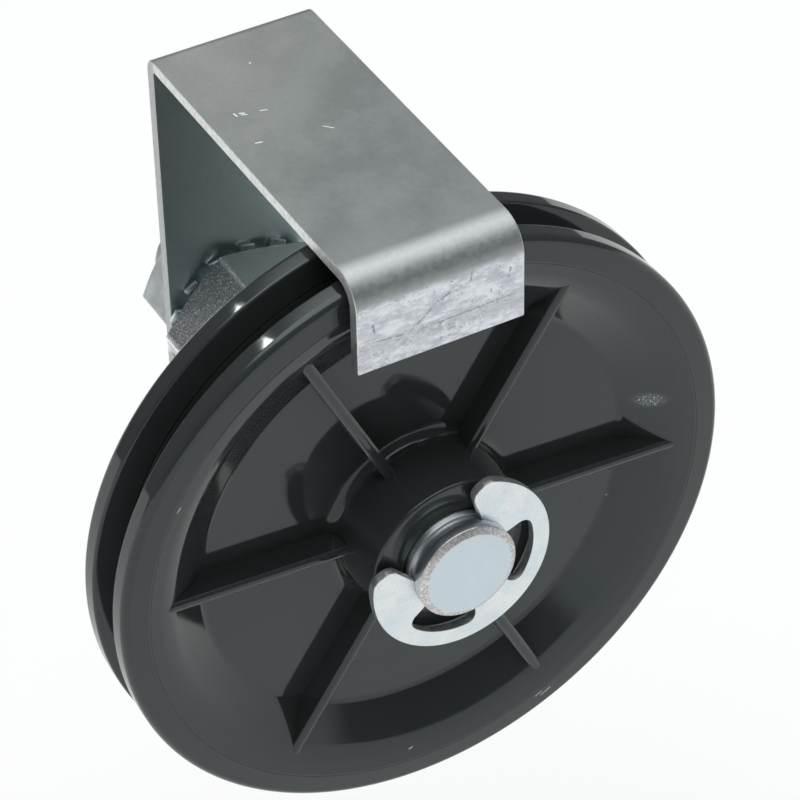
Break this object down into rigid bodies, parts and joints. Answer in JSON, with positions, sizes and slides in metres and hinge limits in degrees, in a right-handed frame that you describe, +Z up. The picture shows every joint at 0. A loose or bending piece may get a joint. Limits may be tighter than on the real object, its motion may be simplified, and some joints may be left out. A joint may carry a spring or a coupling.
{
  "type": "wire rope sheave",
  "caption": "Black plastic rope wheel on a hexagon-bodied stud, held by a spring clip, with a folded steel rope guard clamped behind it.",
  "frame": {"origin": "centre of the rope groove on the wheel's axis", "axes": "+Y along the axis to the threaded end of the stud, +Z up to the flat top of the rope guard, +X completes a right-handed frame"},
  "size_m": [0.1, 0.0902, 0.1029],
  "materials": {
    "black_plastic": "glossy moulded nylon, black",
    "bar_steel": "zinc plated turned and drawn bar",
    "spring_steel": "zinc plated spring strip",
    "guard_steel": "zinc plated sheet, dull"
  },
  "bodies": {
    "frame": {"axle_stud": "bar_steel", "retaining_clip": "spring_steel", "rope_guard": "guard_steel", "lock_washer": "spring_steel", "clamp_nut": "bar_steel"},
    "wheel": {"sheave_wheel": "black_plastic"}
  },
  "joints": [
    {"name": "wheel_spin", "type": "hinge", "parent": "frame", "child": "wheel", "pos_m": [0, 0, 0], "axis": [0, 1, 0], "continuous": true}
  ]
}
